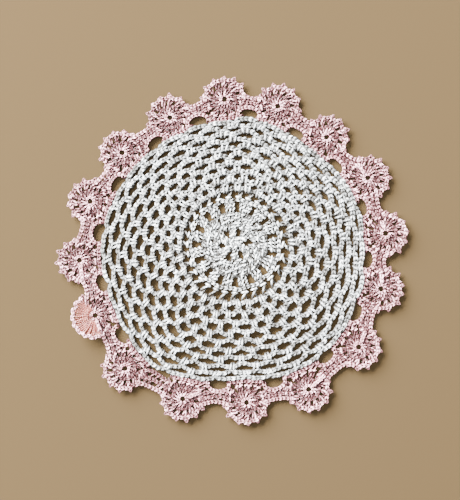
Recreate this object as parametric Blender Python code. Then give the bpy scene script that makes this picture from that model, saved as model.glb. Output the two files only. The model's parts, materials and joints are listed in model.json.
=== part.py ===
"""Round crochet doily, lying flat: a cream net of chain arches and a scalloped edging.

Plan sizes are in millimetres about the middle of the net: turn runs clockwise from
+Y, radius outward.  Both pieces are flat sheets with every gap over 4 mm cut through.
The finished doily is set with the middle of its bounding box bottom at the origin.
"""
import math

import bmesh
import bpy
from mathutils import Vector

MM = 0.001

# whole piece
NET_THICK = 2.6            # two strands of cotton one over the other
EDGING_THICK = 2.9         # the edging is worked tighter and stands a little higher
SEAM = 0.3                 # joint between the net and the edging

# rosette in the middle
CORE_R = 27.3              # radius of the round of wedge gaps
ROSETTE_SHIFT = (0.7, 2.3)
WEDGES = 15
WEDGE_WIDE = 5.8
WEDGE_TALL = 6.0

# net of chain arches
ARCHES = 30                # arches in each round
ARCH_OPEN = 0.58           # share of an arch's length that its gap is wide
CHAIN_WIDE = 3.7           # width of a chain seen from above
ARCH_BOW = 2.1             # rise of an arch's middle over its ends

# edging of round motifs
MOTIF_R = 16.3             # eyelet to the foot of the picots
MOTIF_PICOTS = 8           # picots on the free side of a motif
PICOT_STEP = 24.5          # degrees of motif between two picots
PICOT_HIGH = 2.5
BRIDGE_WIDE = 9.6          # band that joins two motifs
OVAL_WIDE = 12.8

# one row a motif: turn of its eyelet, radius of its eyelet, radius of the net's edge
# under it, then for the space after it: turn, radius of the net's edge, height of the
# oval gap; last the lift of its free edge off the table
MOTIF_COLUMNS = ("turn", "eye_r", "base_r", "gap_turn", "gap_r", "oval_tall", "lift")
MOTIF_ROWS = (
    (-3.7, 105.7, 90.3, 6.3, 92.6, 6.4, 0.8),
    (17.2, 105.3, 91.0, 28.2, 89.2, 6.6, 0.6),
    (39.9, 102.4, 88.6, 51.1, 89.8, 6.4, 0.8),
    (62.4, 107.2, 92.2, 72.2, 92.2, 6.6, 0.5),
    (84.6, 108.0, 91.8, 95.0, 91.4, 7.4, 0.9),
    (105.6, 108.4, 94.2, 118.1, 94.8, 7.2, 0.6),
    (128.5, 113.0, 98.0, 139.8, 98.0, 7.0, 0.8),
    (152.2, 113.6, 98.0, 163.2, 96.6, 6.8, 1.0),
    (175.4, 110.2, 93.4, 186.7, 94.9, 6.4, 0.8),
    (198.8, 113.2, 97.8, 212.6, 101.6, 1.0, 0.6),
    (222.2, 115.6, 100.6, 231.9, 97.6, 7.6, 1.2),
    (244.1, 109.6, 95.6, 255.2, 93.9, 7.0, 4.6),
    (265.4, 110.2, 94.8, 276.4, 93.3, 7.6, 0.8),
    (287.9, 107.4, 92.4, 298.4, 91.4, 6.8, 0.6),
    (310.3, 104.4, 90.8, 323.2, 90.2, 6.4, 0.8),
    (333.7, 103.2, 89.2, 344.0, 89.8, 7.0, 0.7),
)

# one row a round of gaps, inside to outside: share of the way from CORE_R to the
# net's edge, turn of the first gap, and how far a gap leans
ROUND_COLUMNS = ("name", "share", "first", "lean")
ROUND_ROWS = (
    ("posts", 0.145, 12.2, 12.0),
    ("arches_1", 0.272, 8.3, 0.0),
    ("arches_2", 0.366, 3.3, 3.0),
    ("arches_3", 0.466, 9.2, -3.0),
    ("arches_4", 0.562, 2.2, 3.0),
    ("arches_5", 0.652, 7.6, -2.0),
    ("arches_6", 0.734, 1.2, 3.0),
    ("arches_7", 0.813, 6.2, -3.0),
    ("arches_8", 0.893, 0.2, 2.0),
)
LAST_SHARE = 0.965         # chain round that closes the net
LEFT_PULL = 3.0            # how far rounds half way out are drawn in on the left
POST_WIDE = 4.7            # gap between two posts
POST_TALL = 6.3

# the rounds were joined along one side, so gaps there sit a few degrees on
DRIFT_COLUMNS = ("turn", "more")
DRIFT_ROWS = (
    (0.0, -0.3),
    (40.0, -1.7),
    (70.0, -0.6),
    (90.0, 0.6),
    (106.0, 4.2),
    (124.0, 7.8),
    (165.0, 7.2),
    (192.0, 7.0),
    (214.0, 4.0),
    (240.0, 1.8),
    (295.0, 1.4),
    (322.0, -1.0),
    (360.0, -0.3),
)

MOTIFS = [dict(zip(MOTIF_COLUMNS, row)) for row in MOTIF_ROWS]
ROUNDS = [dict(zip(ROUND_COLUMNS, row)) for row in ROUND_ROWS]


# ---- layout -------------------------------------------------------------------

def between(low, high, t):
    """Smooth step from low to high as t goes from 0 to 1."""
    t = min(max(t, 0.0), 1.0)
    return low + (high - low) * t * t * (3.0 - 2.0 * t)


def edge_rows():
    """Turn and radius of the net's edge, under each motif and in each space."""
    rows = []
    for motif in MOTIFS:
        rows.append((motif["turn"], motif["base_r"]))
        rows.append((motif["gap_turn"], motif["gap_r"]))
    rows.append((rows[0][0] + 360.0, rows[0][1]))
    return rows


EDGE_ROWS = edge_rows()


def edge_radius(turn):
    """Radius of the net's edge at a turn in degrees."""
    first = EDGE_ROWS[0][0]
    turn = (turn - first) % 360.0 + first
    for (t0, r0), (t1, r1) in zip(EDGE_ROWS, EDGE_ROWS[1:]):
        if turn <= t1:
            return between(r0, r1, (turn - t0) / (t1 - t0))
    return EDGE_ROWS[-1][1]


def drift(turn):
    """Turn of a gap after the pull of the joined side."""
    for (t0, d0), (t1, d1) in zip(DRIFT_ROWS, DRIFT_ROWS[1:]):
        if turn <= t1:
            return turn + d0 + (d1 - d0) * (turn - t0) / (t1 - t0)
    return turn


def plan(turn, radius):
    """Plan point of a turn in degrees and a radius."""
    angle = math.radians(turn)
    return Vector((radius * math.sin(angle), radius * math.cos(angle)))


def net_place(turn, share):
    """Plan point at a share of the way from the rosette to the net's edge. The shift of
    the rosette fades outward, and rounds on the left are drawn in."""
    left = max(0.0, -math.sin(math.radians(turn))) ** 2
    radius = CORE_R + share * (edge_radius(turn) - CORE_R)
    radius -= LEFT_PULL * math.sin(math.pi * share) * left
    return plan(turn, radius) + Vector(ROSETTE_SHIFT) * (1.0 - share) ** 1.5


def wobble(number, step):
    """Small hand-made unevenness between -1 and 1."""
    return math.sin(number * step * 2.399 + step)


def gap_outline(centre, outward, wide, tall, lean, shape):
    """Outline of one gap from a shape of (across, out) pairs in half sizes."""
    along = Vector((outward.y, -outward.x))
    slope = math.tan(math.radians(lean))
    points = []
    for across, out in shape:
        offset = across * wide / 2.0 + out * tall / 2.0 * slope
        points.append(centre + along * offset + outward * out * tall / 2.0)
    return points


ARCH_SHAPE = ((-1.0, 0.0), (-0.62, 0.72), (0.0, 1.0), (0.62, 0.72),
              (1.0, 0.0), (0.6, -0.74), (0.0, -0.96), (-0.6, -0.74))
POST_SHAPE = ((-0.88, 0.3), (-0.45, 0.95), (0.45, 0.95), (0.88, 0.3),
              (0.86, -0.45), (0.4, -0.98), (-0.4, -0.98), (-0.86, -0.45))
WEDGE_SHAPE = ((-1.0, 0.55), (-0.55, 1.0), (0.55, 1.0), (1.0, 0.55),
               (0.5, -0.45), (0.18, -1.0), (-0.18, -1.0), (-0.5, -0.45))


def wedge_gaps():
    """Wedges between the fans of the rosette."""
    middle = Vector(ROSETTE_SHIFT)
    gaps = []
    for number in range(WEDGES):
        turn = drift(4.8 + number * 360.0 / WEDGES)
        outward = plan(turn, 1.0)
        wide = WEDGE_WIDE * (1.0 + 0.08 * wobble(number, 3))
        tall = WEDGE_TALL * (1.0 + 0.06 * wobble(number, 5))
        centre = middle + outward * CORE_R
        gaps.append(gap_outline(centre, outward, wide, tall, 0.0, WEDGE_SHAPE))
    return gaps


def round_gaps(index):
    """Gaps of one round of the net."""
    row = ROUNDS[index]
    share = row["share"]
    before = ROUNDS[max(index - 1, 0)]["share"]
    after = ROUNDS[index + 1]["share"] if index + 1 < len(ROUNDS) else LAST_SHARE
    gaps = []
    for number in range(ARCHES):
        turn = drift((row["first"] + number * 360.0 / ARCHES) % 360.0)
        span = edge_radius(turn) - CORE_R
        outward = plan(turn, 1.0)
        centre = net_place(turn, share) + outward * 0.35 * wobble(number, index + 2)
        if index == 0:
            wide = POST_WIDE
            tall = POST_TALL * span / 66.0
            shape = POST_SHAPE
        else:
            wide = math.radians(360.0 / ARCHES) * centre.length * ARCH_OPEN
            rise = (after - before) / 2.0
            if index == 1:
                rise = after - share
            tall = rise * span - CHAIN_WIDE + ARCH_BOW
            shape = ARCH_SHAPE
        wide *= 1.0 + 0.05 * wobble(number, index + 7)
        tall *= 1.0 + 0.06 * wobble(number, index + 11)
        lean = row["lean"]
        gaps.append(gap_outline(centre, outward, wide, tall, lean, shape))
    return gaps


def net_outline():
    """Edge of the net."""
    steps = 7
    points = []
    for (t0, _), (t1, _) in zip(EDGE_ROWS, EDGE_ROWS[1:]):
        for step in range(steps):
            turn = t0 + (t1 - t0) * step / steps
            points.append(plan(turn, edge_radius(turn)))
    return points


def middle_turn(motif, follower):
    """Turn half way between two motifs."""
    return motif["turn"] + (follower["turn"] - motif["turn"]) % 360.0 / 2.0


def bridge_radius(motif, follower):
    """Radius of the outer side of the band between two motifs."""
    top = motif["gap_r"] + max(motif["oval_tall"], 5.5) + BRIDGE_WIDE
    level = (motif["eye_r"] + follower["eye_r"]) / 2.0
    return min(max(top, level), level + 4.5)


PICOT_SHAPE = ((0.0, 0.0), (0.3, 0.4), (0.52, 1.0), (0.74, 0.72))


def motif_points(leader, motif, follower):
    """Free side of a motif with its picots, clockwise, from bridge to bridge."""
    eye = plan(motif["turn"], motif["eye_r"])
    before = middle_turn(leader, motif)
    after = middle_turn(motif, follower)
    points = []
    start = -PICOT_STEP * MOTIF_PICOTS / 2.0
    for picot in range(MOTIF_PICOTS + 1):
        high = PICOT_HIGH * (1.0 + 0.2 * wobble(picot + motif["turn"], 4))
        shape = PICOT_SHAPE if picot < MOTIF_PICOTS else PICOT_SHAPE[:1]
        foot = bridge_radius(leader, motif)
        if picot * 2 > MOTIF_PICOTS:
            foot = bridge_radius(motif, follower)
        for along, rise in shape:
            local = start + (picot + along) * PICOT_STEP
            radius = MOTIF_R - 0.9 + rise * high
            place = eye + plan(motif["turn"] + local, radius)
            turn = math.degrees(math.atan2(place.x, place.y))
            clear = min((turn - before) % 360.0, (after - turn) % 360.0)
            if 1.9 < clear < 30.0 and place.length > foot - 0.6:
                points.append(place)
    return points


def edging_outline():
    """Outer side of the edging."""
    points = []
    for number, motif in enumerate(MOTIFS):
        follower = MOTIFS[(number + 1) % len(MOTIFS)]
        points.extend(motif_points(MOTIFS[number - 1], motif, follower))
        radius = bridge_radius(motif, follower)
        for offset, rise in ((-0.8, 0.3), (0.0, 0.0), (0.8, 0.3)):
            points.append(plan(middle_turn(motif, follower) + offset, radius + rise))
    return points


def edging_inside():
    """Inner side of the edging: along the net, and out round each oval gap."""
    points = []
    for motif, follower in zip(MOTIFS, MOTIFS[1:] + MOTIFS[:1]):
        half = math.degrees(OVAL_WIDE / 2.0 / motif["gap_r"])
        if motif["oval_tall"] < 3.0:
            half *= 0.5
        for step in range(11):
            across = -1.0 + step / 5.0
            turn = motif["gap_turn"] + across * half
            out = motif["oval_tall"] * (1.0 - across ** 4) ** 0.6
            points.append(plan(turn, edge_radius(turn) + SEAM + out))
        next_half = math.degrees(OVAL_WIDE / 2.0 / follower["gap_r"])
        start = motif["gap_turn"] + half
        stop = (follower["gap_turn"] - next_half - start) % 360.0
        for step in range(1, 6):
            turn = start + stop * step / 6.0
            points.append(plan(turn, edge_radius(turn) + SEAM))
    return points


# ---- solids -------------------------------------------------------------------

def new_collection(name):
    """Collection under the scene."""
    collection = bpy.data.collections.new(name)
    bpy.context.scene.collection.children.link(collection)
    return collection


def cloth(name, colour):
    """Plain cotton."""
    material = bpy.data.materials.new(name)
    material.use_nodes = True
    shader = material.node_tree.nodes["Principled BSDF"]
    shader.inputs["Base Color"].default_value = (*colour, 1.0)
    shader.inputs["Roughness"].default_value = 0.9
    return material


def flat_piece(name, outline, gaps, thick, origin, collection, material):
    """Sheet of one thickness lying on z = 0, its gaps cut through."""
    curve = bpy.data.curves.new(name + "_plan", "CURVE")
    curve.dimensions = "2D"
    curve.fill_mode = "BOTH"
    curve.extrude = thick * MM / 2.0
    for loop in [outline] + gaps:
        spline = curve.splines.new("POLY")
        spline.points.add(len(loop) - 1)
        for point, place in zip(spline.points, loop):
            flat = (place - origin) * MM
            point.co = (flat.x, flat.y, 0.0, 1.0)
        spline.use_cyclic_u = True
    holder = bpy.data.objects.new(name + "_plan", curve)
    collection.objects.link(holder)
    holder.location.z = thick * MM / 2.0
    bpy.context.view_layer.update()
    graph = bpy.context.evaluated_depsgraph_get()
    mesh = bpy.data.meshes.new_from_object(holder.evaluated_get(graph))
    mesh.transform(holder.matrix_world)
    bpy.data.objects.remove(holder)
    bpy.data.curves.remove(curve)
    mesh.name = name
    body = bpy.data.objects.new(name, mesh)
    collection.objects.link(body)
    shell = bmesh.new()
    shell.from_mesh(mesh)
    bmesh.ops.remove_doubles(shell, verts=shell.verts, dist=0.00001)
    bmesh.ops.recalc_face_normals(shell, faces=shell.faces)
    shell.to_mesh(mesh)
    shell.free()
    mesh.materials.clear()
    mesh.materials.append(material)
    return body


def lift_at(place):
    """Height of the sheet off the table at a plan point, in millimetres."""
    turn = math.degrees(math.atan2(place.x, place.y))
    for motif in MOTIFS:
        off = abs((turn - motif["turn"] + 180.0) % 360.0 - 180.0)
        if off < 11.0:
            out = (place.length - motif["eye_r"] + 5.0) / (MOTIF_R + 6.0)
            side = between(1.0, 0.0, (off - 6.0) / 5.0)
            return motif["lift"] * between(0.0, 1.0, out) * side
    return 0.0


def curl(body, origin):
    """Raise the free edges, with bend lines across the motif that lifts most."""
    shell = bmesh.new()
    shell.from_mesh(body.data)
    most = max(MOTIFS, key=lambda motif: motif["lift"])
    outward = plan(most["turn"], 1.0)
    for beyond in (-1.0, 4.0, 8.0, 12.0):
        foot = (outward * (most["eye_r"] + beyond) - origin) * MM
        near = [face for face in shell.faces
                if (face.calc_center_median().xy / MM + origin
                    - outward * most["eye_r"]).length < MOTIF_R + 4.0]
        lines = {edge for face in near for edge in face.edges}
        corners = {vert for face in near for vert in face.verts}
        bmesh.ops.bisect_plane(shell, geom=list(corners) + list(lines) + near,
                               plane_co=(foot.x, foot.y, 0.0),
                               plane_no=(outward.x, outward.y, 0.0))
    bmesh.ops.triangulate(shell, faces=shell.faces)
    for vert in shell.verts:
        place = vert.co.xy / MM + origin
        vert.co.z += lift_at(place) * MM
    bmesh.ops.recalc_face_normals(shell, faces=shell.faces)
    shell.to_mesh(body.data)
    shell.free()


def main():
    for thing in list(bpy.data.objects):
        bpy.data.objects.remove(thing)
    collection = new_collection("crochet_doily")
    outer = edging_outline()
    low = Vector((min(p.x for p in outer), min(p.y for p in outer)))
    high = Vector((max(p.x for p in outer), max(p.y for p in outer)))
    origin = (low + high) / 2.0

    gaps = wedge_gaps()
    for index in range(len(ROUNDS)):
        gaps.extend(round_gaps(index))
    cream = cloth("cream_cotton", (0.80, 0.79, 0.72))
    pink = cloth("pink_cotton", (0.74, 0.47, 0.47))
    flat_piece("net_centre", net_outline(), gaps, NET_THICK, origin, collection, cream)
    edging = flat_piece("scallop_edging", outer, [edging_inside()], EDGING_THICK,
                        origin, collection, pink)
    curl(edging, origin)


main()
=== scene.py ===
"""Round crochet doily in cotton yarn, stitch by stitch, on a pale floor."""

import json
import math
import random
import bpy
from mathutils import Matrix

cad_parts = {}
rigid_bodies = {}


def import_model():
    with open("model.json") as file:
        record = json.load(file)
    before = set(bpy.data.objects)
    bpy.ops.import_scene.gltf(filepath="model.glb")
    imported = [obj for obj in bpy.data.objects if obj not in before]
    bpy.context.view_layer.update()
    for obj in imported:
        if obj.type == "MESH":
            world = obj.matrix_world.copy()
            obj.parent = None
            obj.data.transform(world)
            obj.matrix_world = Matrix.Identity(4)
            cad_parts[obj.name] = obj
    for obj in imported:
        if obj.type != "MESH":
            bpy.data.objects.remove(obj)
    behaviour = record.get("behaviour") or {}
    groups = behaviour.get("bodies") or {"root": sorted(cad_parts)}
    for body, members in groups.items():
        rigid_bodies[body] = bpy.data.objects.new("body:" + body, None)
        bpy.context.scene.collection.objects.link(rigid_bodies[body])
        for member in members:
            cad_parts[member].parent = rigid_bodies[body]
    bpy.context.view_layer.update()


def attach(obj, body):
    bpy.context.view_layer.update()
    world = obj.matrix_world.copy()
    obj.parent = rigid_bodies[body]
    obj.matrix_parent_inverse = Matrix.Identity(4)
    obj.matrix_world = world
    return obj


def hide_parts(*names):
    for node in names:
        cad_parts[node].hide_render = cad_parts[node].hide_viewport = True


bl_info = {
    "name": "Crochet Doily",
    "version": (1, 0, 0),
    "blender": (4, 5, 0),
    "location": "View3D > Sidebar > Doily",
    "description": "Works a round doily in cotton yarn: rosette, net of chain arches, "
                   "scalloped edging",
    "category": "Add Mesh",
}

import bpy
import numpy as np
from bpy.props import FloatProperty, FloatVectorProperty, PointerProperty
from mathutils import Vector

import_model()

MM = 0.001

# ---- layout of the doily, in millimetres about the middle of the net, and degrees -----

ORIGIN = (-1.337, -1.932)      # middle of the bounding box, in plan sizes
CORE_R = 27.3                  # rosette out to the wedge gaps
ROSETTE_SHIFT = (0.7, 2.3)     # how far the rosette sits off the middle
WEDGES = 15                    # gaps between the fans of the rosette
FIRST_WEDGE = 4.8              # turn of the first wedge gap
ARCHES = 30                    # chain arches in a round of the net
LEFT_PULL = 3.0                # how far rounds half way out are drawn in on the left
MOTIF_R = 16.3                 # eyelet of a motif out to its picots
PICOTS = 7                     # picots on a motif
PICOT_STEP = 27.6              # turn from one picot to the next
FIRST_PICOT = -PICOT_STEP * (PICOTS - 1) / 2.0
CURL_HALF = 78.0               # half the sweep of the fan that curls up
BRIDGE_WIDE = 9.6              # band between two motifs, across
OVAL_WIDE = 12.8               # oval gap along the net's edge
OVAL_LEAST = 2.0               # an oval gap lower than this is drawn shut

# a row a motif: turn and radius of its eyelet, radius of the net's edge under it,
# then for the space after it turn, radius of the edge, height of the oval gap; lift
MOTIF_COLUMNS = ("turn", "eye_r", "base_r", "gap_turn", "gap_r", "oval_tall", "lift")
MOTIF_ROWS = (
    (-3.7, 105.7, 90.3, 6.3, 92.6, 6.4, 0.8),
    (17.2, 105.3, 91.0, 28.2, 89.2, 6.6, 0.6),
    (39.9, 102.4, 88.6, 51.1, 89.8, 6.4, 0.8),
    (62.4, 107.2, 92.2, 72.2, 92.2, 6.6, 0.5),
    (84.6, 108.0, 91.8, 95.0, 91.4, 7.4, 0.9),
    (105.6, 108.4, 94.2, 118.1, 94.8, 7.2, 0.6),
    (128.5, 113.0, 98.0, 139.8, 98.0, 7.0, 0.8),
    (152.2, 113.6, 98.0, 163.2, 96.6, 6.8, 1.0),
    (175.4, 110.2, 93.4, 186.7, 94.9, 6.4, 0.8),
    (198.8, 113.2, 97.8, 212.6, 101.6, 1.0, 0.6),
    (222.2, 115.6, 100.6, 231.9, 97.6, 7.6, 1.2),
    (244.1, 109.6, 95.6, 255.2, 93.9, 7.0, 4.6),
    (265.4, 110.2, 94.8, 276.4, 93.3, 7.6, 0.8),
    (287.9, 107.4, 92.4, 298.4, 91.4, 6.8, 0.6),
    (310.3, 104.4, 90.8, 323.2, 90.2, 6.4, 0.8),
    (333.7, 103.2, 89.2, 344.0, 89.8, 7.0, 0.7),
)
MOTIFS = [dict(zip(MOTIF_COLUMNS, row)) for row in MOTIF_ROWS]

# motifs whose first chain stands up as a ridge: its turn and how far out it runs
SEAMS = {3: (322.0, 12.6), 4: (344.0, 9.4), 5: (2.0, 10.4), 6: (25.0, 11.4),
         7: (49.0, 15.2), 9: (70.0, 13.6), 11: (160.0, 12.0),
         12: (170.0, 14.6), 13: (192.0, 8.6)}
for number, each in enumerate(MOTIFS):
    each["curled"] = each["lift"] > 4.0
    each["seam"], each["seam_long"] = SEAMS.get(number, (None, 0.0))

# a row a round of the net: share of the way from the rosette to the edge at which its
# gaps lie, turn of the first gap
ROUND_COLUMNS = ("share", "first")
ROUND_ROWS = (
    (0.145, 12.2),
    (0.272, 8.3),
    (0.366, 3.3),
    (0.466, 9.2),
    (0.562, 2.2),
    (0.652, 7.6),
    (0.734, 1.2),
    (0.813, 6.2),
    (0.893, 0.2),
    (0.965, 6.2),
)
ROUNDS = [dict(zip(ROUND_COLUMNS, row)) for row in ROUND_ROWS]

# a row a turn: how far round the stitches there have been pulled
DRIFT_ROWS = (
    (0.0, -0.3),
    (40.0, -1.7),
    (70.0, -0.6),
    (90.0, 0.6),
    (106.0, 4.2),
    (124.0, 7.8),
    (165.0, 7.2),
    (192.0, 7.0),
    (214.0, 4.0),
    (240.0, 1.8),
    (295.0, 1.4),
    (322.0, -1.0),
    (360.0, -0.3),
)


def ease(low, high, t):
    """Smooth step from low to high as t goes from 0 to 1."""
    t = min(max(t, 0.0), 1.0)
    return low + (high - low) * t * t * (3.0 - 2.0 * t)


def edge_rows():
    """Turn and radius of the net's edge, under each motif and in each space."""
    rows = []
    for motif in MOTIFS:
        rows.append((motif["turn"], motif["base_r"]))
        rows.append((motif["gap_turn"], motif["gap_r"]))
    rows.append((rows[0][0] + 360.0, rows[0][1]))
    return rows


EDGE_ROWS = edge_rows()


def edge_radius(turn):
    """Radius of the net's edge at a turn in degrees."""
    first = EDGE_ROWS[0][0]
    turn = (turn - first) % 360.0 + first
    for (t0, r0), (t1, r1) in zip(EDGE_ROWS, EDGE_ROWS[1:]):
        if turn <= t1:
            return ease(r0, r1, (turn - t0) / (t1 - t0))
    return EDGE_ROWS[-1][1]


def drift(turn):
    """Turn of a stitch after it has been pulled round."""
    whole = turn // 360.0 * 360.0
    turn -= whole
    for (t0, d0), (t1, d1) in zip(DRIFT_ROWS, DRIFT_ROWS[1:]):
        if turn <= t1:
            return whole + turn + d0 + (d1 - d0) * (turn - t0) / (t1 - t0)
    return whole + turn


def plan(turn, radius):
    """Plan point of a turn in degrees, clockwise from +Y, and a radius."""
    angle = math.radians(turn)
    return np.array((radius * math.sin(angle), radius * math.cos(angle)))


def turn_of(x, y):
    """Turn of a plan point."""
    return math.degrees(math.atan2(x, y))


def turn_off(turn, other):
    """How far a turn is past another, the short way round."""
    return (turn - other + 180.0) % 360.0 - 180.0


def net_point(turn, share):
    """Plan point at a share of the way from the rosette to the net's edge. The shift of
    the rosette fades outward, and rounds on the left are drawn in."""
    left = max(0.0, -math.sin(math.radians(turn))) ** 2
    radius = CORE_R + share * (edge_radius(turn) - CORE_R)
    radius -= LEFT_PULL * math.sin(math.pi * share) * left
    return plan(turn, radius) + np.array(ROSETTE_SHIFT) * max(0.0, 1.0 - share) ** 1.5


def stretch(turn):
    """Width of the net's stitches there as a share: drawn out and slim at the lower left,
    crowded at the upper right."""
    return 1.05 - 0.24 * math.cos(math.radians(turn - 220.0))


def rosette_point(turn, radius):
    """Plan point about the middle of the rosette."""
    return plan(turn, radius) + np.array(ROSETTE_SHIFT)


def lift_at(x, y):
    """Height of the work off the table at a plan point."""
    turn = turn_of(x, y)
    radius = math.hypot(x, y)
    height = 0.0
    for motif in MOTIFS:
        off = abs(turn_off(turn, motif["turn"]))
        if off < 11.0:
            out = (radius - motif["eye_r"] + 5.0) / (MOTIF_R + 6.0)
            beside = (off - 6.0) / 5.0
            height += motif["lift"] * ease(0.0, 1.0, out) * ease(1.0, 0.0, beside)
    height += 0.25 * (1.0 + math.sin(0.11 * x + 0.6) * math.sin(0.09 * y - 0.4))
    return height


# ---- yarn ------------------------------------------------------------------------

class Yarn:
    """Stitches of one piece: lists of points that the yarn follows."""

    def __init__(self, seed, size, fine=1.0, crown=1.0, foot=0.0):
        self.runs = []
        self.dice = random.Random(seed)
        self.size = size
        self.fine = fine       # how thin the yarn is pulled, as a share of its thickness
        # crown and foot move no yarn: they set the heights across which the yarn goes from
        # painted shade to painted highlight
        self.crown = crown     # height of the tops over their foot, in thicknesses
        self.foot = foot       # height of that foot over the middle, in thicknesses

    def jog(self, amount):
        """Small unevenness of the hand."""
        return self.dice.uniform(-amount, amount)

    def somewhere(self):
        """Where the wrap of a post sits, as a share of its height; one in three has none
        or a low one."""
        return self.dice.choice((0.0, 0.3, 0.72)) + self.jog(0.12)

    def run(self, points, closed=False, low=1.0):
        """Adds one run of yarn; low is a share of the crown, the height across which it
        goes from painted shade to painted highlight.
        """
        self.runs.append((np.array(points, float), closed, self.fine, self.crown * low))


# one chain stitch seen from above: along in pitches, across and up in half widths
CHAIN_LOOP = (
    (0.00, 0.12, -0.55),
    (0.28, 0.30, 0.30),
    (0.56, 0.66, 1.00),
    (0.94, 1.02, 0.66),
    (1.30, 0.90, -0.15),
    (1.52, 0.34, -0.60),
    (1.52, -0.34, -0.60),
    (1.30, -0.90, -0.15),
    (0.94, -1.02, 0.66),
    (0.56, -0.66, 1.00),
    (0.28, -0.30, 0.30),
    (0.00, -0.12, -0.55),
    (0.34, 0.06, 0.05),
    (0.74, 0.00, 0.80),
)


def spaced(line, along):
    """Point and side direction of a plan line at a distance along it."""
    steps = np.linalg.norm(np.diff(line, axis=0), axis=1)
    total = np.concatenate(([0.0], np.cumsum(steps)))
    reach = min(max(along, 0.0), total[-1])
    index = min(max(int(np.searchsorted(total, reach)) - 1, 0), len(steps) - 1)
    part = (line[index + 1] - line[index]) / max(steps[index], 1e-9)
    point = line[index] + part * (along - total[index])
    return point, np.array((part[1], -part[0]))


def length_of(line):
    """Length of a plan line."""
    return float(np.linalg.norm(np.diff(line, axis=0), axis=1).sum())


def chain(yarn, line, slim=1.0, rise=0.0, count=None, loose=1.0):
    """Chain stitches along a plan line, count of them or as many as fit; slim narrows
    them, rise lifts them, and loose ones lie less evenly."""
    line = np.array(line)
    size = yarn.size
    count = count or max(1, round(length_of(line) / size.pitch - 0.3))
    step = length_of(line) / (count + 0.45)
    points = []
    for number in range(count):
        wide = size.half * slim * (1.0 + yarn.jog(0.15))
        off = yarn.jog(0.16) * loose
        tilt = yarn.jog(0.25) * loose
        high = size.level + rise + yarn.jog(0.17) * loose
        for along, across, up in CHAIN_LOOP:
            place, side = spaced(line, (number + along) * step)
            place = place + side * (across * wide + off + tilt * (along - 0.75))
            points.append((place[0], place[1], high + up * size.half))
    yarn.run(points)


LEAST_WRAP = 0.13      # a wrap lower than this share of a post is left out


def post(yarn, foot, head, wide=1.0, twist=0.75, wrap=0.0, rise=0.0, low=1.0):
    """A post: two strands twisted about each other from foot to head and hooked under the
    round below. Wrap is the share of its height at which yarn goes about them, and low is
    a share of the chains' crown, over which the post goes from painted shade to painted
    highlight."""
    size = yarn.size
    half = size.post * wide
    foot = np.array(foot, float)
    head = np.array(head, float) + np.array((yarn.jog(0.3), yarn.jog(0.3)))
    up = head - foot
    tall = float(np.linalg.norm(up))
    up /= tall
    side = np.array((up[1], -up[0]))
    start = yarn.jog(0.5) + 2.5
    level = size.level + rise + yarn.jog(0.12)
    points = []

    def strand(share, turn, sink=0.0):
        """One point of a strand, at a share of the height and a turn about the post."""
        place = foot + up * (share * tall) + side * half * math.cos(turn)
        points.append((place[0], place[1], level + half * 0.9 * math.sin(turn) - sink))

    shares = (0.97, 0.78, 0.56, 0.34, 0.14)
    strand(1.0 + 0.5 / tall, start, 0.7)
    for share in shares:
        strand(share, start + (1.0 - share) * twist * math.tau)
    for out, sink in ((-0.45, 0.0), (-0.9, 0.45), (-0.35, 0.95)):
        place = foot + up * out
        points.append((place[0], place[1], level - sink))
    for share in reversed(shares):
        strand(share, start + math.pi + (1.0 - share) * twist * math.tau)
    strand(1.0 + 0.5 / tall, start + math.pi, 0.7)
    yarn.run(points, low=low)
    if wrap > LEAST_WRAP:
        ring = []
        about = half + size.thick * yarn.fine * 0.5
        for number in range(8):
            turn = math.tau * number / 8
            place = foot + up * (tall * wrap + 0.5 * math.cos(turn + 0.5))
            place = place + side * about * math.cos(turn)
            ring.append((place[0], place[1], level + about * 0.92 * math.sin(turn)))
        yarn.run(ring, closed=True, low=low)


# one tie stitch over the arch below: across, share of its height, height over the work
TIE_LOOP = (
    (-1.35, 1.06, -0.10),
    (-1.15, 0.80, 0.75),
    (-0.98, 0.30, 1.30),
    (-0.86, -0.22, 1.10),
    (-0.60, -0.62, 0.10),
    (-0.34, -0.40, -0.95),
    (-0.20, 0.25, -1.05),
    (0.20, 0.30, -1.05),
    (0.36, -0.35, -0.95),
    (0.62, -0.60, 0.10),
    (0.86, -0.20, 1.10),
    (0.98, 0.32, 1.30),
    (1.12, 0.82, 0.75),
    (1.35, 1.06, -0.10),
)

# the two turns of yarn across a tie: half width, shares of its height, how far they sink
TIE_BARS = ((2.2, 0.84, 0.98, 0.0), (1.9, 0.22, 0.40, 0.5))

# one of those turns: across, share of the way up it, height over the work
BAR_ARC = (
    (-1.0, 0.0, -0.5),
    (-0.7, 0.8, 0.35),
    (-0.2, 1.0, 0.95),
    (0.25, 0.4, 0.95),
    (0.7, 0.5, 0.35),
    (1.0, 0.0, -0.5),
)


def tie(yarn, foot, head, wide):
    """A tie stitch: yarn over the arch below and up into the arch above, with two turns
    of yarn across it."""
    size = yarn.size
    foot = np.array(foot, float)
    up = np.array(head, float) - foot
    tall = float(np.linalg.norm(up))
    up /= tall
    side = np.array((up[1], -up[0]))
    lean = yarn.jog(1.1)
    points = []
    for across, share, high in TIE_LOOP:
        place = foot + up * share * tall + side * (across * wide + lean * share)
        points.append((place[0], place[1], size.level + high))
    yarn.run(points)
    for across, low, high, sink in TIE_BARS:
        bar = []
        tip = yarn.jog(0.3)
        for part, share, lift in BAR_ARC:
            place = foot + up * (low + (high - low) * share + tip * part) * tall
            place = place + side * across * part * wide
            bar.append((place[0], place[1], size.level + lift - sink))
        yarn.run(bar)


def ring_line(centre, radius, steps=48, start=0.0, sweep=360.0):
    """Plan line round a circle, or along a part of it."""
    return np.array([plan(start + sweep * step / steps, radius) + centre
                     for step in range(steps + 1)])


# ---- pieces of the doily ------------------------------------------------------------

# turns of the six dark eyelets about the middle of the rosette
EYELETS = (17.0, 81.0, 151.0, 205.0, 266.0, 324.0)

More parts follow.
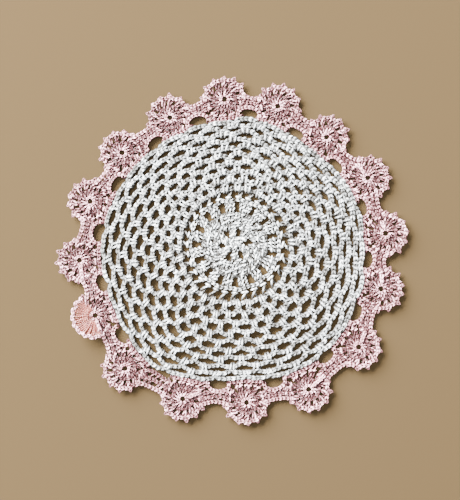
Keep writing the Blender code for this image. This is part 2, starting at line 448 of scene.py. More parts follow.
# a row a round of the rosette's posts: how many, radius of their feet, of their heads
ROSETTE_ROWS = (
    (36, 10.2, 14.6),
    (47, 14.3, 18.7),
    (57, 18.4, 22.8),
)


def work_lobes(yarn):
    """The six lobes of the rosette, with an eyelet between each two."""
    centre = np.array(ROSETTE_SHIFT)
    usual, yarn.fine = yarn.fine, 0.8
    for index, turn in enumerate(EYELETS):
        after = EYELETS[(index + 1) % len(EYELETS)]
        span = (after - turn) % 360.0
        middle = turn + span / 2.0
        for side in (-0.17, 0.17):
            post(yarn, rosette_point(middle + side * span, 4.6),
                 rosette_point(middle + side * span * 0.9, 8.7), wide=1.3,
                 wrap=yarn.somewhere(), rise=yarn.jog(0.3))
        arc = ring_line(centre, 9.2, 10, middle - span * 0.26, span * 0.52)
        chain(yarn, arc, rise=-0.4, count=2, loose=2.0)
    yarn.fine = usual


def work_fans(yarn):
    """The closed fans of the rosette, four posts wide on the right, else three."""
    step = 360.0 / WEDGES
    for fan in range(WEDGES):
        gap = drift(FIRST_WEDGE + fan * step)
        after = drift(FIRST_WEDGE + (fan + 1) * step)
        middle = (gap + after) / 2.0
        spread = (after - gap) / step
        if middle % 360.0 < 140.0:
            offsets, feet, heads = (-1.0, -0.35, 0.35, 1.0), 6.6, 7.2
        else:
            offsets, feet, heads = (-1.0, 0.0, 1.0), 5.8, 5.0
        for offset in offsets:
            foot = rosette_point(middle + offset * feet * spread,
                                 22.8 + 1.2 * abs(offset) + yarn.jog(0.6))
            head = rosette_point(middle + offset * heads * spread, 29.8)
            post(yarn, foot, head, twist=1.1, wrap=yarn.somewhere(),
                 rise=0.3 - 0.3 * abs(offset))


def work_rosette(yarn):
    """The rosette: six lobes, three rounds of posts and fifteen closed fans."""
    centre = np.array(ROSETTE_SHIFT)
    chain(yarn, ring_line(centre, 1.3, 24, 30.0), slim=0.8, count=4, rise=-0.5)
    for number in range(9):
        turn = number * 40.0 + yarn.jog(9.0)
        post(yarn, rosette_point(turn, 0.9), rosette_point(turn + yarn.jog(8.0), 4.7),
             wide=1.2, wrap=yarn.somewhere(), rise=yarn.jog(0.3))
    work_lobes(yarn)
    for count, low, high in ROSETTE_ROWS:
        for number in range(count):
            turn = number * 360.0 / count + yarn.jog(1.6)
            near = min(abs(turn_off(turn, eyelet)) for eyelet in EYELETS)
            inner = 12.4 if low < 11.0 and near < 10.0 else low
            post(yarn, rosette_point(turn, inner + yarn.jog(0.8)),
                 rosette_point(turn + 2.0 + yarn.jog(1.5), high + yarn.jog(0.8)), wide=0.8,
                 twist=0.9 + yarn.jog(0.3), wrap=yarn.somewhere(), rise=yarn.jog(0.35))
        chain(yarn, ring_line(centre, high - 0.4), rise=-1.0, slim=0.8, loose=2.0)
    work_fans(yarn)
    line = []
    for turn in range(0, 361, 2):
        wave = math.cos(math.radians((turn - FIRST_WEDGE - 2.0) * WEDGES))
        line.append(rosette_point(turn, 31.6 + 0.5 * wave))
    chain(yarn, line, rise=-0.2, loose=2.0)


LAST_BAR = 0.990       # share of the way out at which the last round's arches lie


def bar_share(index):
    """Share of the way out at which the middles of a round's arches lie."""
    if index + 1 < len(ROUNDS):
        return (ROUNDS[index]["share"] + ROUNDS[index + 1]["share"]) / 2.0
    return LAST_BAR


def tie_turn(index, number):
    """Turn of a round's tie stitch."""
    return drift(ROUNDS[index]["first"] - 6.0 + number * 360.0 / ARCHES)


def knot_place(index, number):
    """Foot and head of a tie stitch, in plan."""
    turn = tie_turn(index, number)
    turn += 0.8 * math.sin(number * 2.4 + index * 1.7)
    unevenness = 0.007 * math.sin(number * 3.7 + index * 2.9)
    low = net_point(turn, bar_share(index - 1) + unevenness)
    out = low / np.linalg.norm(low)
    room = np.linalg.norm(net_point(turn, bar_share(index)) - low)
    return low, low + out * min(3.7, room * 0.66)


def work_posts(yarn):
    """The round of posts outside the rosette, in less tightly pulled yarn."""
    # a taller crown gives these posts less painted highlight
    yarn.fine, yarn.crown = 0.85, 1.2
    for number in range(ARCHES):
        turn = tie_turn(0, number)
        foot = rosette_point(turn - 2.0, 32.6)
        head = net_point(turn + 1.6, bar_share(0)) * 0.98
        full = 80.0 < turn % 360.0 < 170.0
        post(yarn, foot, head, wide=2.1 if full else 1.5, twist=0.6, wrap=0.22,
             rise=yarn.jog(0.3) - 0.3)
    line = []
    for turn in range(0, 361, 2):
        wave = math.cos(math.radians((turn - ROUNDS[0]["first"]) * ARCHES))
        line.append(net_point(drift(turn), bar_share(0) + 0.008 * wave))
    chain(yarn, line, slim=1.05, rise=-0.2, loose=2.5)


INNER_ROUNDS = 6       # rounds in the middle of the net, from the posts outward
CLOSE_ROUNDS = 3       # rounds nearest the rosette, whose chains are fuller


def work_arch(yarn, index, number):
    """One arch of chains."""
    _, start = knot_place(index, number)
    _, stop = knot_place(index, number + 1)
    turn0 = turn_of(*start)
    sweep = turn_off(turn_of(*stop), turn0)
    peak = np.linalg.norm(net_point(turn0 + sweep / 2.0, bar_share(index)))
    peak += yarn.jog(0.6)
    low = (np.linalg.norm(start), np.linalg.norm(stop))
    line = []
    for step in range(15):
        share = step / 14.0
        base = low[0] + (low[1] - low[0]) * share
        bow = (peak - (low[0] + low[1]) / 2.0) * math.sin(math.pi * share) ** 0.8
        line.append(plan(turn0 + sweep * share, base + bow))
    close = 1.0
    if index < CLOSE_ROUNDS:
        close = 1.3 if 80.0 < turn0 % 360.0 < 320.0 else 1.15
    chain(yarn, line, slim=stretch(turn0) * close, loose=2.0)


def work_net(yarn, rounds):
    """Rounds of chain arches."""
    for index in rounds:
        for number in range(ARCHES):
            work_arch(yarn, index, number)


def work_ties(yarn):
    """The tie stitches that hold each arch to the one below."""
    for index in range(1, len(ROUNDS)):
        for number in range(ARCHES):
            foot, head = knot_place(index, number)
            wide = (0.8 + 0.008 * np.linalg.norm(foot)) * stretch(tie_turn(index, number))
            tie(yarn, foot, head, wide)


def motif_point(motif, turn, radius):
    """Plan point about the eyelet of a motif; turn 0 points away from the net."""
    return plan(motif["turn"], motif["eye_r"]) + plan(motif["turn"] + turn, radius)


def bridge_radius(motif, follower):
    """Radius of the outer side of the band between two motifs."""
    top = motif["gap_r"] + max(motif["oval_tall"], 5.5) + BRIDGE_WIDE
    level = (motif["eye_r"] + follower["eye_r"]) / 2.0
    return min(max(top, level), level + 4.5)


def foot_reach(motif, leader, turn):
    """How far a motif's joined side reaches in a direction from its eyelet: to the edge
    of the net, or to the oval gap beside it."""
    for step in range(60):
        radius = 11.0 + step * 0.2
        x, y = motif_point(motif, turn, radius)
        away = math.hypot(x, y)
        place = turn_of(x, y)
        low = edge_radius(place)
        if away < low + 1.3:
            break
        for gap in (motif, leader):
            off = turn_off(gap["gap_turn"], place)
            side = math.radians(off) * away / (OVAL_WIDE / 2.0 + 1.8)
            up = (away - low - gap["oval_tall"] / 2.0) / (gap["oval_tall"] / 2.0 + 1.8)
            if abs(off) < 8.0 and side * side + up * up < 1.0:
                return radius - 0.2
        across = away * math.radians(turn_off(place, motif["turn"]))
        if abs(across) > 14.5:
            break
    return radius


SPOKES = 16            # posts about a motif's eyelet
JOINED_POSTS = 11      # posts on a motif's joined side

# a row a post of a petal: where in the fan it stands, radius of its foot
PETAL_ROWS = ((-1.0, 8.7), (1.0, 8.7), (0.0, 10.8))


def work_spokes(yarn, motif):
    """Eyelet ring of a motif and the spokes about it."""
    eye = motif_point(motif, 0.0, 0.0)
    start = motif["turn"] + yarn.jog(20.0)
    chain(yarn, ring_line(eye, 2.9, 24, start), slim=0.7, count=8, rise=0.2)
    for number in range(SPOKES):
        turn = number * 360.0 / SPOKES + yarn.jog(3.0)
        if motif["curled"] and (turn < CURL_HALF or turn > 360.0 - CURL_HALF):
            continue
        post(yarn, motif_point(motif, turn, 3.8 + yarn.jog(0.3)),
             motif_point(motif, turn + 3.0, 7.9 + yarn.jog(0.4)), wide=1.25, twist=0.4,
             rise=yarn.jog(0.25), low=0.72)
    chain(yarn, ring_line(eye, 7.5, 48, start + 40.0), slim=0.7, rise=-0.6, loose=2.5)


def work_rim(yarn, motif):
    """Waved chain round the free side of a motif."""
    line = []
    for step in range(61):
        across = (step / 30.0 - 1.0) * (PICOTS / 2.0 * PICOT_STEP)
        wave = math.cos(math.radians((across - FIRST_PICOT) * 360.0 / PICOT_STEP))
        line.append(motif_point(motif, across, 13.9 + 0.5 * wave))
    chain(yarn, line, rise=0.1, loose=2.5)


def work_petals(yarn, motif):
    """Fans of three posts round the free side of a motif, each with its picot."""
    for number in range(PICOTS):
        turn = FIRST_PICOT + number * PICOT_STEP + yarn.jog(1.5)
        if motif["curled"] and abs(turn) < CURL_HALF:
            continue
        near = 3.0 + yarn.jog(1.6)
        for offset, inner in PETAL_ROWS:
            foot = motif_point(motif, turn + offset * near, inner + yarn.jog(0.5))
            head = motif_point(motif, turn + offset * 8.2, 14.8 - 1.8 * abs(offset))
            post(yarn, foot, head, twist=0.5, wide=1.2, low=0.72,
                 rise=yarn.jog(0.2) + 0.25 - 0.25 * abs(offset))
        picot(yarn, motif, turn + yarn.jog(2.0))


def work_joined_side(yarn, motif, leader):
    """Posts from a motif to the net and to the oval gaps beside it."""
    for number in range(JOINED_POSTS):
        turn = 105.0 + number * 15.0 + (3.4 if number % 2 else -1.0) + yarn.jog(1.5)
        reach = foot_reach(motif, leader, turn)
        post(yarn, motif_point(motif, turn, 8.9 + yarn.jog(0.4)),
             motif_point(motif, turn, reach), wide=1.3, rise=yarn.jog(0.25),
             wrap=0.5 if reach > 14.0 else 0.0, low=0.75)


def work_motif(yarn, motif, leader):
    """One round motif: eyelet ring, spokes, petals with picots, joined side, and the
    first chain where it stands up as a ridge."""
    work_spokes(yarn, motif)
    if motif["curled"]:
        work_curl_rim(yarn, motif)
    else:
        work_rim(yarn, motif)
    work_petals(yarn, motif)
    work_joined_side(yarn, motif, leader)
    if motif["seam"]:
        ends = [motif_point(motif, motif["seam"] - motif["turn"], radius)
                for radius in (3.4, motif["seam_long"])]
        chain(yarn, [ends[0], (ends[0] + ends[1]) / 2.0, ends[1]], slim=0.85, rise=1.0)


def work_curl(yarn, motif):
    """The outer half of the curled motif: close spokes seen from their smooth back."""
    for number in range(25):
        turn = (number / 12.0 - 1.0) * CURL_HALF
        post(yarn, motif_point(motif, turn, 3.2), motif_point(motif, turn, 14.4),
             wide=1.35, twist=0.25, rise=0.45)


def work_curl_rim(yarn, motif):
    """The scalloped rim of the curled half, in the usual pink, paler than the curled fan.
    """
    line = []
    for step in range(97):
        turn = (step / 48.0 - 1.0) * (CURL_HALF + 3.0)
        wave = abs(math.cos(math.radians(turn * 9.0)))
        line.append(motif_point(motif, turn, 14.0 + 1.9 * wave))
    chain(yarn, line, rise=0.6, slim=0.8)


PICOT_BASE = 13.6      # radius at which a picot starts to lean
PICOT_TALL = 3.3       # from there to its tip

# a picot: turn from its middle, radius about the motif's eyelet, height
PICOT_LOOP = (
    (-7.4, 13.3, -0.3),
    (-6.2, 14.6, 0.3),
    (-3.0, 15.7, 0.6),
    (0.2, 16.9, 0.5),
    (3.3, 15.6, 0.5),
    (6.4, 14.4, 0.1),
    (7.4, 13.1, -0.4),
)


def picot(yarn, motif, turn):
    """A pointed picot: a small loop at the head of a fan."""
    reach = yarn.jog(0.7)
    lean = yarn.jog(2.5)
    points = []
    for off, radius, high in PICOT_LOOP:
        share = max(0.0, radius - PICOT_BASE) / PICOT_TALL
        x, y = motif_point(motif, turn + off + lean * share, radius + reach * share)
        points.append((x, y, yarn.size.level + high))
    yarn.run(points)


def work_foot(yarn, motif):
    """Chain that joins a motif to the edge of the net."""
    line = []
    for step in range(13):
        across = step / 6.0 - 1.0
        turn = motif["turn"] + math.degrees(across * 12.2 / motif["base_r"])
        line.append(plan(turn, edge_radius(turn) + 1.6))
    chain(yarn, line, rise=-0.1)


def oval_rim(motif):
    """Plan line of the pink rim round an oval gap, from foot to foot over its top."""
    tall = motif["oval_tall"] / 2.0
    line = []
    for step in range(25):
        angle = math.radians(208.0 - step * 236.0 / 24.0)
        across = (OVAL_WIDE / 2.0 + 1.3) * math.cos(angle)
        out = motif["gap_r"] + tall + (tall + 1.4) * math.sin(angle)
        line.append(plan(motif["gap_turn"] + math.degrees(across / out), out))
    return line


def work_bridge(yarn, motif, follower):
    """The band between two motifs: three rows of chain with short posts between."""
    outer = bridge_radius(motif, follower) - 1.5
    inner = motif["gap_r"] + max(motif["oval_tall"], OVAL_LEAST) + 1.5
    centre = (outer + inner) / 2.0
    gap = (follower["turn"] - motif["turn"]) % 360.0
    middle = motif["turn"] + gap / 2.0
    if motif["oval_tall"] > OVAL_LEAST:
        chain(yarn, oval_rim(motif), rise=0.1)
    for radius, turn, depth, top in (
            (outer, 84.0, 12.6, middle),
            (centre, 100.0, 12.0, middle * 0.5 + motif["gap_turn"] * 0.5),
            (inner, 116.0, 11.0, motif["gap_turn"])):
        ends = (motif_point(motif, turn, depth), motif_point(follower, -turn, depth))
        bow = plan(top, radius) - (ends[0] + ends[1]) / 2.0
        line = []
        for step in range(11):
            share = step / 10.0
            straight = ends[0] * (1.0 - share) + ends[1] * share
            line.append(straight + bow * math.sin(math.pi * share) ** 0.7)
        chain(yarn, line, rise=0.1 if radius == outer else -0.3)
    for foot, head, shift in ((inner + 0.6, centre + 0.4, 0.0),
                              (centre + 0.4, outer - 0.2, 0.8)):
        for number in range(5):
            off = (number - 2.0) * 2.1 + shift + yarn.jog(0.45)
            post(yarn, plan(middle + off, foot), plan(middle + off + 0.4, head),
                 twist=0.5, rise=yarn.jog(0.25), low=0.75)


# ---- mesh ---------------------------------------------------------------------------

def smooth_run(points, closed, longest):
    """Points along a smooth line through a run's points."""
    if closed:
        before, after = points[-1:], points[:2]
    else:
        before, after = points[:1] * 2.0 - points[1:2], points[-1:] * 2.0 - points[-2:-1]
    padded = np.concatenate((before, points, after))
    count = len(points) if closed else len(points) - 1
    line = []
    for index in range(count):
        p0, p1, p2, p3 = padded[index:index + 4]
        steps = max(1, int(math.ceil(np.linalg.norm(p2 - p1) / longest)))
        for step in range(steps):
            t = step / steps
            line.append(0.5 * (2.0 * p1 + (p2 - p0) * t
                               + (2.0 * p0 - 5.0 * p1 + 4.0 * p2 - p3) * t * t
                               + (3.0 * p1 - p0 - 3.0 * p2 + p3) * t * t * t))
    if not closed:
        line.append(points[-1])
    return np.array(line)


SIDES = 5              # sides of a strand
PLIES = 3              # plies of the yarn
MAP_UNIT = 10.0        # length of yarn to one unit of its map, mm
LOWEST = 0.02          # how far the lowest strands stay over the table, mm


def tube_rings(line, closed, radius):
    """Rings of points about a line, turned as little as possible from one to the next."""
    ahead = np.roll(line, -1, axis=0) - np.roll(line, 1, axis=0)
    if not closed:
        ahead[0] = line[1] - line[0]
        ahead[-1] = line[-1] - line[-2]
    ahead /= np.maximum(np.linalg.norm(ahead, axis=1), 1e-9)[:, None]
    normal = np.cross(ahead[0], (0.0, 0.0, 1.0))
    if np.linalg.norm(normal) < 1e-3:
        normal = np.cross(ahead[0], (1.0, 0.0, 0.0))
    normals = []
    for direction in ahead:
        normal = normal - direction * normal.dot(direction)
        normal /= max(np.linalg.norm(normal), 1e-9)
        normals.append(normal)
    normals = np.array(normals)
    others = np.cross(ahead, normals)
    turns = np.arange(SIDES) / SIDES * math.tau
    return (line[:, None, :]
            + radius * (np.cos(turns)[None, :, None] * normals[:, None, :]
                        + np.sin(turns)[None, :, None] * others[:, None, :]))


def yarn_mesh(name, yarn):
    """One mesh of all the runs of yarn. Its map holds the length along the yarn and the
    turn about it, and its crest how far each point stands up: 0 at the foot of the tops
    and 1 at the height of the crown."""
    spots, faces, maps, crowns = [], [], [], []
    base = 0
    for points, closed, fine, crown in yarn.runs:
        line = smooth_run(points, closed, yarn.size.segment)
        rings = tube_rings(line, closed, yarn.size.thick / 2.0 * fine)
        count = len(line)
        spots.append(rings.reshape(-1, 3))
        crowns.extend([crown] * (count * SIDES))
        steps = np.linalg.norm(np.diff(line, axis=0), axis=1)
        along = np.concatenate(([0.0], np.cumsum(steps)))
        along = np.append(along, along[-1] + np.linalg.norm(line[0] - line[-1]))
        along /= MAP_UNIT
        for index in range(count if closed else count - 1):
            here = base + index * SIDES
            there = base + (index + 1) % count * SIDES
            u0, u1 = along[index], along[index + 1]
            for side in range(SIDES):
                beside = (side + 1) % SIDES
                faces.append((here + side, here + beside, there + beside, there + side))
                v0, v1 = side / SIDES, (side + 1) / SIDES
                maps.extend(((u0, v0), (u0, v1), (u1, v1), (u1, v0)))
        if not closed:
            last = base + (count - 1) * SIDES
            faces.append(tuple(base + side for side in reversed(range(SIDES))))
            faces.append(tuple(last + side for side in range(SIDES)))
            maps.extend([(0.0, 0.5)] * SIDES + [(along[-2], 0.5)] * SIDES)
        base += count * SIDES
    spots = np.concatenate(spots)
    # the crest sets the painted shade where it is low and the painted highlight where it
    # is high
    crest = (spots[:, 2] - yarn.size.level) / yarn.size.thick
    crest = (crest - yarn.foot) / np.array(crowns)
    lifts = np.array([lift_at(x, y) for x, y in spots[::SIDES, :2]])
    spots[:, 2] += np.repeat(lifts, SIDES)
    spots[:, 2] = np.maximum(spots[:, 2], LOWEST)
    spots[:, :2] -= ORIGIN
    mesh = bpy.data.meshes.new(name)
    mesh.from_pydata((spots * MM).tolist(), [], faces)
    layer = mesh.uv_layers.new(name="yarn_map")
    layer.data.foreach_set("uv", np.array(maps, np.float32).ravel())
    mesh.attributes.new("crest", "FLOAT", "POINT").data.foreach_set("value", crest)
    mesh.shade_smooth()
    mesh.update()
    piece = bpy.data.objects.new(name, mesh)
    bpy.context.scene.collection.objects.link(piece)
    return piece


# ---- materials ------------------------------------------------------------------------

def yarn_group():
    """Node group: twisted plies and fibre fuzz, with painted shade in the hollows and
    painted highlights on the tops.
    """
    group = bpy.data.node_groups.get("twisted_cotton")
    if group:
        return group
    group = bpy.data.node_groups.new("twisted_cotton", "ShaderNodeTree")
    for label, kind in (("Colour", "NodeSocketColor"), ("Painted shade", "NodeSocketColor"),
                        ("Light", "NodeSocketColor"), ("Twist", "NodeSocketFloat")):
        group.interface.new_socket(label, in_out="INPUT", socket_type=kind)
    for label, kind in (("Colour", "NodeSocketColor"), ("Height", "NodeSocketFloat"),
                        ("Roughness", "NodeSocketFloat")):
        group.interface.new_socket(label, in_out="OUTPUT", socket_type=kind)
    nodes, links = group.nodes, group.links
    inside = nodes.new("NodeGroupInput")
    outside = nodes.new("NodeGroupOutput")
    place = nodes.new("ShaderNodeUVMap")
    place.uv_map = "yarn_map"
    split = nodes.new("ShaderNodeSeparateXYZ")
    links.new(place.outputs["UV"], split.inputs[0])
    where = nodes.new("ShaderNodeTexCoord")
    crest = nodes.new("ShaderNodeAttribute")
    crest.attribute_name = "crest"

    def calc(kind, first, second=None):
        """One sum of two values or sockets."""
        node = nodes.new("ShaderNodeMath")
        node.operation = kind
        for socket, value in zip(node.inputs, (first, second)):
            if value is None:
                continue
            if isinstance(value, (int, float)):
                socket.default_value = value
            else:
                links.new(value, socket)
        return node.outputs[0]

    def noise(scale, detail):
        """Noise over the piece."""
        node = nodes.new("ShaderNodeTexNoise")
        node.inputs["Scale"].default_value = scale
        node.inputs["Detail"].default_value = detail
        links.new(where.outputs["Object"], node.inputs["Vector"])
        return node.outputs["Fac"]

    def spread(value, low, high, least=0.0, smooth=False):
        """Spreads the values from low to high over least to one."""
        node = nodes.new("ShaderNodeMapRange")
        if smooth:
            node.interpolation_type = "SMOOTHSTEP"
        node.inputs["From Min"].default_value = low
        node.inputs["From Max"].default_value = high
        node.inputs["To Min"].default_value = least
        links.new(value, node.inputs["Value"])
        return node.outputs["Result"]

    def blend(share, first, second):
        """Colour a share of the way from the first to the second; the numbers are those
        of the node's colour sockets."""
        node = nodes.new("ShaderNodeMix")
        node.data_type = "RGBA"
        for socket, value in ((0, share), (6, first), (7, second)):
            links.new(value, node.inputs[socket])
        return node.outputs[2]

    along = calc("MULTIPLY", split.outputs["X"], inside.outputs["Twist"])
    about = calc("MULTIPLY", split.outputs["Y"], float(PLIES))
    wave = calc("SINE", calc("MULTIPLY", calc("ADD", along, about), math.tau))
    ply = calc("MULTIPLY", calc("ADD", wave, 1.0), 0.5)
    fuzz = noise(2600.0, 2.0)
    highlight_patches = noise(90.0, 3.0)
    patch = noise(420.0, 1.0)
    # painted shade: low-lying yarn, and the yarn between its plies, goes towards the
    # painted shade colour, in random patches; painted highlight: the highest yarn goes
    # towards the painted highlight colour, where a noise lets it
    depth = spread(crest.outputs["Fac"], 0.2, 0.85, smooth=True)
    uneven = spread(patch, 0.36, 0.62, least=0.6)
    groove = calc("MULTIPLY", calc("ADD", calc("MULTIPLY", ply, 0.2), 0.8),
                  calc("MULTIPLY", depth, uneven))
    shine = calc("MULTIPLY", spread(highlight_patches, 0.2, 0.5), calc("POWER", groove, 3.0))
    colour = blend(groove, inside.outputs["Painted shade"], inside.outputs["Colour"])
    colour = blend(shine, colour, inside.outputs["Light"])
    height = calc("ADD", ply, calc("MULTIPLY", fuzz, 0.5))
    rough = calc("ADD", calc("MULTIPLY", fuzz, 0.25), 0.2)
    for label, value in (("Colour", colour), ("Height", height), ("Roughness", rough)):
        links.new(value, outside.inputs[label])
    return group


def cotton(name, colour, shade, light, size):
    """Matt twisted cotton of one colour, with painted shade and painted highlights."""
    material = bpy.data.materials.new(name)
    material.use_nodes = True
    nodes, links = material.node_tree.nodes, material.node_tree.links
    shader = nodes["Principled BSDF"]
    shader.inputs["Specular IOR Level"].default_value = 0.25
    shader.inputs["Sheen Weight"].default_value = 0.05
    shader.inputs["Sheen Roughness"].default_value = 0.5
    look = nodes.new("ShaderNodeGroup")
    look.node_tree = yarn_group()
    look.inputs["Colour"].default_value = (*colour, 1.0)
    look.inputs["Painted shade"].default_value = (*shade, 1.0)
    look.inputs["Light"].default_value = (*light, 1.0)
    look.inputs["Twist"].default_value = PLIES * MAP_UNIT / size.twist
    bump = nodes.new("ShaderNodeBump")
    bump.inputs["Strength"].default_value = 0.8
    bump.inputs["Distance"].default_value = 0.0003
    links.new(look.outputs["Height"], bump.inputs["Height"])
    links.new(look.outputs["Colour"], shader.inputs["Base Color"])
    links.new(look.outputs["Roughness"], shader.inputs["Roughness"])
    links.new(bump.outputs["Normal"], shader.inputs["Normal"])
    return material


# ---- add-on ----------------------------------------------------------------------------

def millimetres(name, description, default):
    """A size in millimetres that a user may change."""
    return FloatProperty(name=name, description=description, default=default, min=0.05,
                         max=20.0)


class CreamYarn(bpy.types.PropertyGroup):
    """Sizes of the cream cotton and its stitches, in millimetres."""
    thick: millimetres("Thickness", "Thickness of the yarn, mm", 1.9)
    twist: millimetres("Twist", "Length of one turn of the plies, mm", 5.4)
    pitch: millimetres("Pitch", "Length of a chain stitch, mm", 3.3)
    half: millimetres("Half chain", "Middle of a chain to that of its strand, mm", 0.93)
    post: millimetres("Half post", "Middle of a post to that of its strand, mm", 0.7)
    level: millimetres("Level", "Middle of the work over the table, mm", 1.6)
    segment: millimetres("Segment", "Longest step along the yarn, mm", 1.3)


class PinkYarn(bpy.types.PropertyGroup):
    """Sizes of the pink cotton and its stitches, in millimetres."""
    thick: millimetres("Thickness", "Thickness of the yarn, mm", 1.14)
    twist: millimetres("Twist", "Length of one turn of the plies, mm", 4.4)
    pitch: millimetres("Pitch", "Length of a chain stitch, mm", 2.7)
    half: millimetres("Half chain", "Middle of a chain to that of its strand, mm", 0.95)
    post: millimetres("Half post", "Middle of a post to that of its strand, mm", 0.56)
    level: millimetres("Level", "Middle of the work over the table, mm", 1.45)
    segment: millimetres("Segment", "Longest step along the yarn, mm", 1.15)


def tint(name, description, default):
    """A colour that a user may change."""
    return FloatVectorProperty(name=name, description=description, default=default,
                               subtype="COLOR")


class DoilyColours(bpy.types.PropertyGroup):
    """Colours of the two yarns and the floor."""
    cream: tint("Cream", "Undyed cotton", (0.35, 0.37, 0.377))
    # painted shade: the dark colour the cream yarn takes where it lies low, in its hollows
    # and between its plies
    cream_painted_shade: tint("Cream painted shade", "Painted shade in the cotton's hollows", (0.036, 0.0325, 0.028))
    # painted highlight: the near-white colour the cream yarn takes on its highest parts,
    # in random patches
    cream_painted_highlight: tint("Cream painted highlight", "Painted highlight on the tops", (0.935, 0.965, 0.97))
    pink: tint("Pink", "Pink cotton", (0.35, 0.135, 0.147))
    # painted shade: the dark colour the pink yarn takes where it lies low, in its hollows
    # and between its plies
    pink_painted_shade: tint("Pink painted shade", "Painted shade in the pink's hollows", (0.048, 0.0135, 0.0145))
    # painted highlight: the pale pink the pink yarn takes on its highest parts, in random
    # patches
    pink_painted_highlight: tint("Pink painted highlight", "Painted highlight on the tops", (1.0, 0.60, 0.67))
    # darker, deeper pink of the curled fan; it also stands in for that fan's highlight
    # colour, so the fan has no painted highlight
    back: tint("Back", "Pink where its back shows", (0.25, 0.076, 0.056))
    floor: tint("Floor", "Studio floor", (0.0385, 0.0257, 0.0123))


def cream_cotton(context):
    """The cream yarn's material."""
    colours = context.scene.doily_colours
    return bpy.data.materials.get("cream_yarn") or cotton(
        "cream_yarn", colours.cream, colours.cream_painted_shade, colours.cream_painted_highlight,
        context.scene.doily_cream)


def pink_cotton(context):
    """The pink yarn's material."""
    colours = context.scene.doily_colours
    return bpy.data.materials.get("pink_yarn") or cotton(
        "pink_yarn", colours.pink, colours.pink_painted_shade, colours.pink_painted_highlight,
        context.scene.doily_pink)


def pink_back(context):
    """The pink yarn where the curled fan's smooth back shows, darker, with no painted
    highlight.
    """
    colours = context.scene.doily_colours
    return bpy.data.materials.get("pink_yarn_back") or cotton(
        "pink_yarn_back", colours.back, colours.pink_painted_shade, colours.back,
        context.scene.doily_pink)


def place_piece(name, yarn, material, node):
    """Makes a piece of its yarn, dresses it and lets it stand for its solid."""
    piece = yarn_mesh(name, yarn)
    piece.data.materials.append(material)
    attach(piece, "root")
    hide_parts(node)


class DOILY_OT_rosette(bpy.types.Operator):
    """Work the rosette and the round of posts about it"""
    bl_idname = "doily.rosette"
    bl_label = "Rosette"

    def execute(self, context):
        # crown sets where the painted shade and painted highlight fall on the rosette
        yarn = Yarn(11, context.scene.doily_cream, fine=0.62, crown=0.79)
        work_rosette(yarn)
        work_posts(yarn)
        place_piece("rosette", yarn, cream_cotton(context), "net_centre")
        return {"FINISHED"}


class DOILY_OT_net(bpy.types.Operator):
    """Work the net of chain arches and its tie stitches"""
    bl_idname = "doily.net"
    bl_label = "Net"

    def execute(self, context):
        size = context.scene.doily_cream
        # foot and crown set where the painted shade and painted highlight fall on each
        # piece
        inner = Yarn(17, size, foot=0.28)
        outer = Yarn(23, size, foot=0.28)
        ties = Yarn(29, size, fine=0.83, crown=1.05, foot=0.24)
        work_net(inner, range(1, INNER_ROUNDS))
        work_net(outer, range(INNER_ROUNDS, len(ROUNDS)))
        work_ties(ties)
        for name, yarn in (("net_inner_rounds", inner), ("net_outer_rounds", outer),
                           ("net_tie_stitches", ties)):
            place_piece(name, yarn, cream_cotton(context), "net_centre")
        return {"FINISHED"}


class DOILY_OT_edging(bpy.types.Operator):
    """Work the sixteen motifs of the edging and the bands between them"""
    bl_idname = "doily.edging"
    bl_label = "Edging"

    def execute(self, context):
        for quarter in range(4):
            # crown and foot set where the painted shade and painted highlight fall on the
            # edging
            yarn = Yarn(31 + quarter, context.scene.doily_pink, crown=1.25, foot=0.3)
            for number in range(quarter * 4, quarter * 4 + 4):
                motif = MOTIFS[number]
                work_motif(yarn, motif, MOTIFS[number - 1])
                work_foot(yarn, motif)
                work_bridge(yarn, motif, MOTIFS[(number + 1) % len(MOTIFS)])
            place_piece(f"edging_quarter_{quarter + 1}", yarn, pink_cotton(context),
                        "scallop_edging")
        yarn = Yarn(41, context.scene.doily_pink)
        for motif in MOTIFS:
            if motif["curled"]:
                work_curl(yarn, motif)
        place_piece("curled_fan", yarn, pink_back(context), "scallop_edging")
        return {"FINISHED"}


class DOILY_OT_declare(bpy.types.Operator):
    bl_idname = "doily.declare"
    bl_label = "Declare sheets"

    def execute(self, context):
        pieces = bpy.data.objects
        edging = [pieces[f"edging_quarter_{number}"] for number in (1, 2, 3, 4)]
        edging.append(pieces["curled_fan"])
        return {"FINISHED"}


SKY = (0.92, 0.97, 1.0, 1.0)
SKY_STRENGTH = 1.35
CAMERA_PLACE = (-0.0016, 0.0005, 0.6025)
CAMERA_LENS = 60.8

# a row a lamp: name, place, power, width and height; each is aimed at the origin
LAMPS = (
    ("window", (-2.0, 1.85, 1.3), 3100.0, 3.0, 1.8),
    ("ceiling", (-0.35, 0.3, 2.2), 80.0, 0.9, 0.9),
)


def area_light(name, place, power, wide, tall):
    """Soft oblong light aimed at the origin."""
    lamp = bpy.data.lights.new(name, "AREA")
    lamp.shape = "RECTANGLE"
    lamp.energy = power
    lamp.size = wide
    lamp.size_y = tall
    holder = bpy.data.objects.new(name, lamp)
    holder.location = place
    holder.rotation_euler = (-Vector(place)).to_track_quat("-Z", "Y").to_euler()
    bpy.context.scene.collection.objects.link(holder)


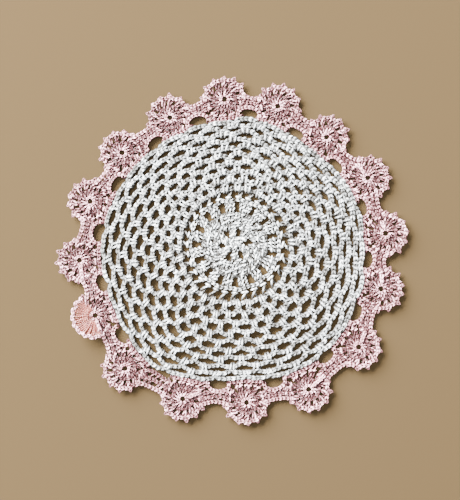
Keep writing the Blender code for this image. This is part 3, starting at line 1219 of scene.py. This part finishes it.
class DOILY_OT_stage(bpy.types.Operator):
    """Set the floor, the lights and the camera"""
    bl_idname = "doily.stage"
    bl_label = "Stage"

    def execute(self, context):
        bpy.ops.mesh.primitive_plane_add(size=6.0, location=(0.0, 0.0, 0.0))
        floor = context.active_object
        floor.name = "floor"
        material = bpy.data.materials.new("studio_floor")
        material.use_nodes = True
        shader = material.node_tree.nodes["Principled BSDF"]
        colour = context.scene.doily_colours.floor
        shader.inputs["Base Color"].default_value = (*colour, 1.0)
        shader.inputs["Roughness"].default_value = 0.85
        shader.inputs["Specular IOR Level"].default_value = 0.0
        floor.data.materials.append(material)
        world = bpy.data.worlds.new("studio")
        world.use_nodes = True
        sky = world.node_tree.nodes["Background"]
        sky.inputs["Color"].default_value = SKY
        sky.inputs["Strength"].default_value = SKY_STRENGTH
        context.scene.world = world
        for row in LAMPS:
            area_light(*row)
        eye = bpy.data.cameras.new("camera")
        eye.sensor_width = 36.0
        eye.lens = CAMERA_LENS
        camera = bpy.data.objects.new("camera", eye)
        camera.location = CAMERA_PLACE
        context.scene.collection.objects.link(camera)
        context.scene.camera = camera
        return {"FINISHED"}


class DOILY_PT_panel(bpy.types.Panel):
    """Doily tools"""
    bl_label = "Doily"
    bl_idname = "DOILY_PT_panel"
    bl_space_type = "VIEW_3D"
    bl_region_type = "UI"
    bl_category = "Doily"

    def draw(self, context):
        layout = self.layout
        scene = context.scene
        for group in (scene.doily_cream, scene.doily_pink, scene.doily_colours):
            for name in group.__annotations__:
                layout.prop(group, name)
        for step in STEPS:
            layout.operator(step.bl_idname)


STEPS = (DOILY_OT_rosette, DOILY_OT_net, DOILY_OT_edging, DOILY_OT_declare, DOILY_OT_stage)
CLASSES = (CreamYarn, PinkYarn, DoilyColours, *STEPS, DOILY_PT_panel)


def register():
    """Adds the tools, the panel and their settings to Blender."""
    for kind in CLASSES:
        bpy.utils.register_class(kind)
    bpy.types.Scene.doily_cream = PointerProperty(type=CreamYarn)
    bpy.types.Scene.doily_pink = PointerProperty(type=PinkYarn)
    bpy.types.Scene.doily_colours = PointerProperty(type=DoilyColours)


def unregister():
    """Takes them out again."""
    del bpy.types.Scene.doily_colours
    del bpy.types.Scene.doily_pink
    del bpy.types.Scene.doily_cream
    for kind in reversed(CLASSES):
        bpy.utils.unregister_class(kind)


def main():
    """Makes the doily in order."""
    register()
    bpy.ops.doily.rosette()
    bpy.ops.doily.net()
    bpy.ops.doily.edging()
    bpy.ops.doily.declare()
    bpy.ops.doily.stage()


if __name__ == "__main__":
    main()
